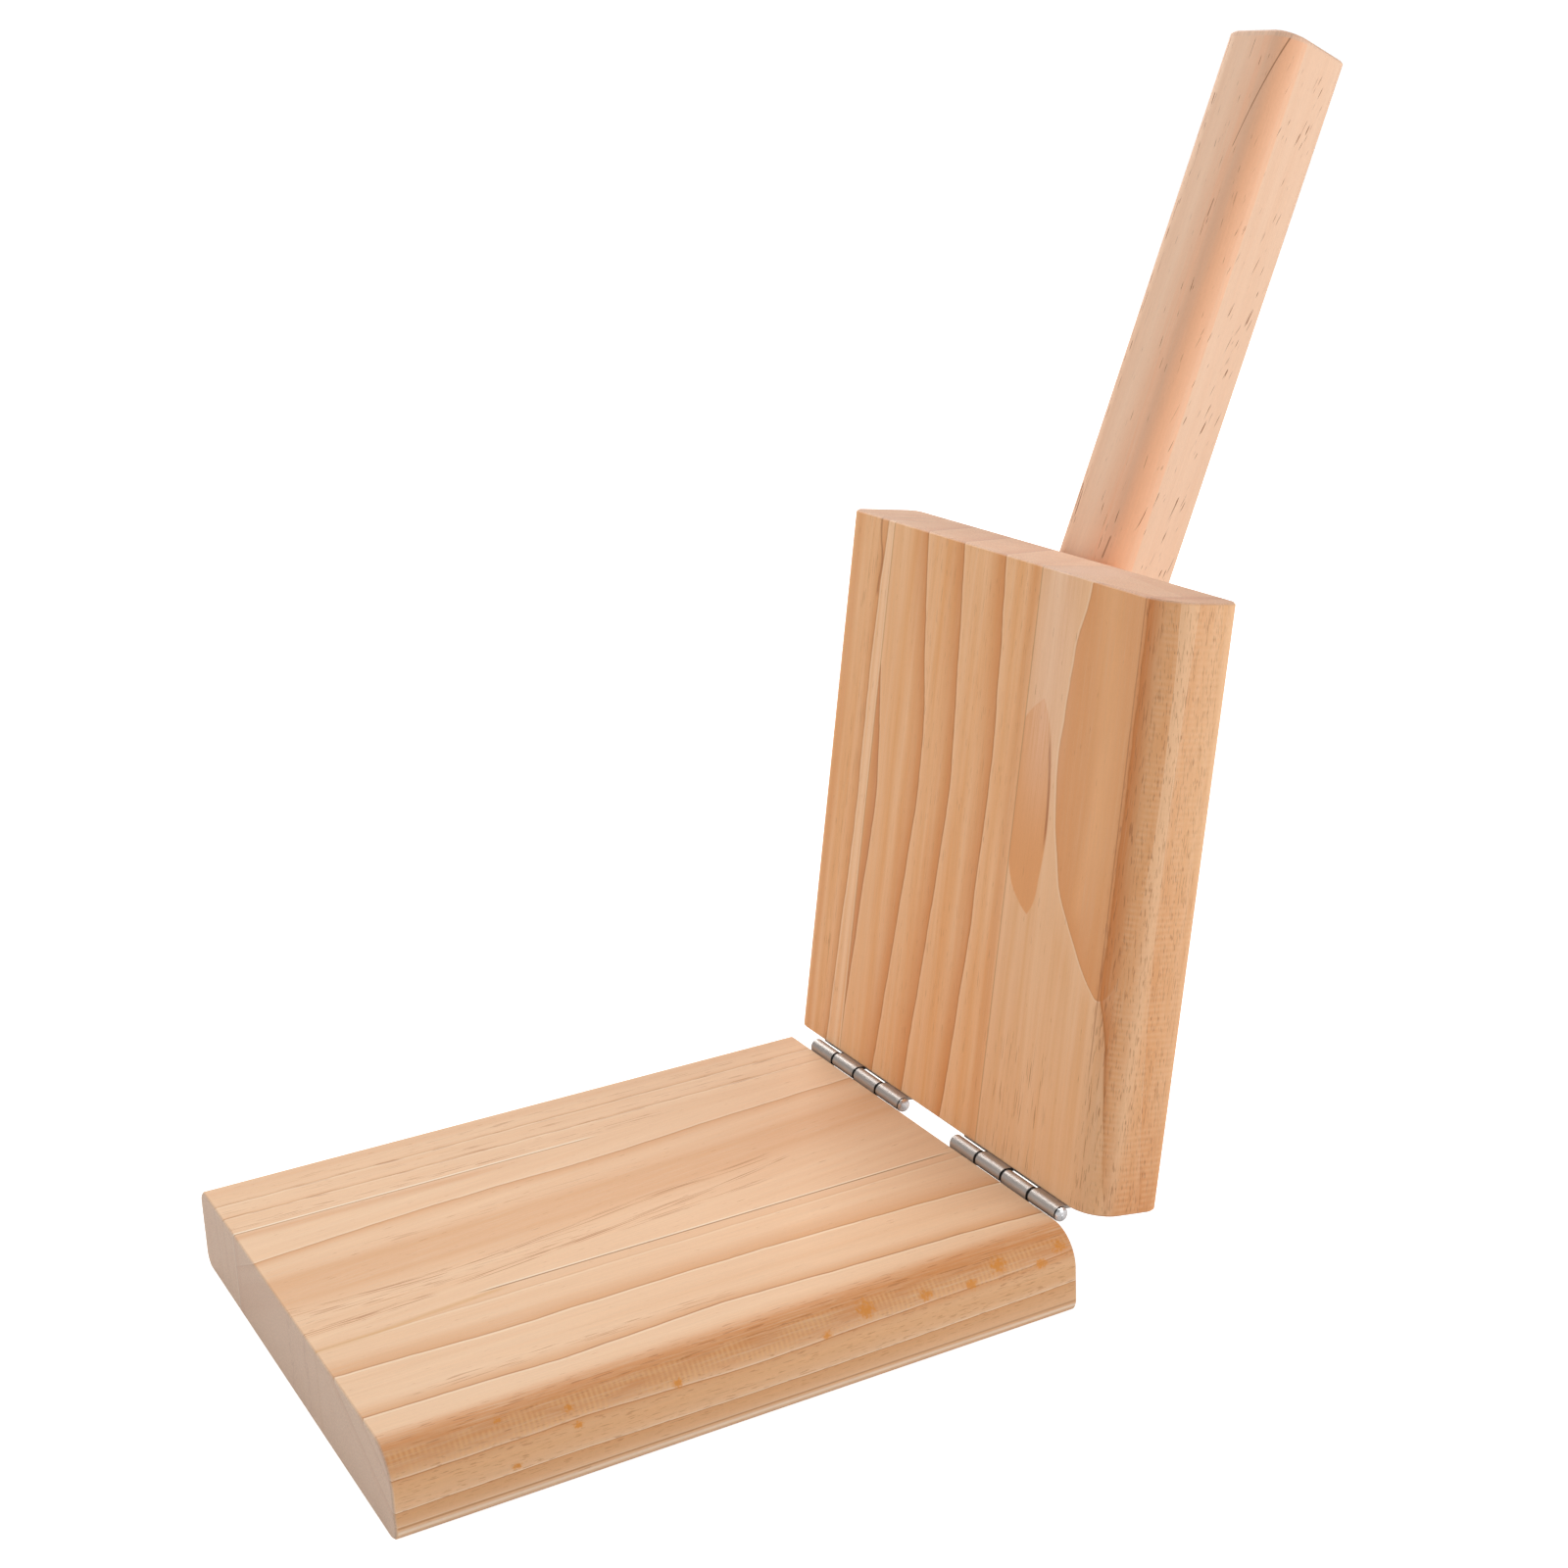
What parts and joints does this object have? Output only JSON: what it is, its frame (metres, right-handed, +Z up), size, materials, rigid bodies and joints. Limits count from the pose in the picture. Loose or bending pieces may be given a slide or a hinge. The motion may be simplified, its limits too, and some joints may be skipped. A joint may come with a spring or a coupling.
{
  "type": "dumpling wrapper press",
  "caption": "Hinged wooden press: a slanting handle swings the upper board down on the base board and flattens a ball of dough into a thin round wrapper.",
  "frame": {"origin": "middle of the base board's underside, on the table it rests on", "axes": "+Z up, X along the hinge pins, -Y towards the free end of the base board, with the press board open above the +Y end"},
  "size_m": [0.116, 0.2452, 0.2413],
  "materials": {
    "base_pine": "planed and sanded pine, unvarnished",
    "press_pine": "planed and sanded pine, unvarnished",
    "handle_beech": "planed and sanded beech, unvarnished",
    "hinge_steel": "nickel-plated rolled steel strip",
    "pin_steel": "nickel-plated steel wire",
    "screw_steel": "zinc-plated steel"
  },
  "bodies": {
    "base": {"base_far_stave": "base_pine", "base_middle_stave": "base_pine", "base_near_stave": "base_pine", "far_hinge_base_leaf": "hinge_steel", "near_hinge_base_leaf": "hinge_steel", "far_hinge_pin": "pin_steel", "near_hinge_pin": "pin_steel", "base_leaf_screws": "screw_steel"},
    "press": {"press_far_stave": "press_pine", "press_middle_stave": "press_pine", "press_near_stave": "press_pine", "handle": "handle_beech", "far_hinge_press_leaf": "hinge_steel", "near_hinge_press_leaf": "hinge_steel", "press_leaf_screws": "screw_steel", "handle_screws": "screw_steel"}
  },
  "joints": [
    {"name": "press_hinge", "type": "hinge", "parent": "base", "child": "press", "pos_m": [0, 0.0726, 0.0179], "axis": [-1, 0, 0], "range_deg": [-99.1, 69]}
  ]
}
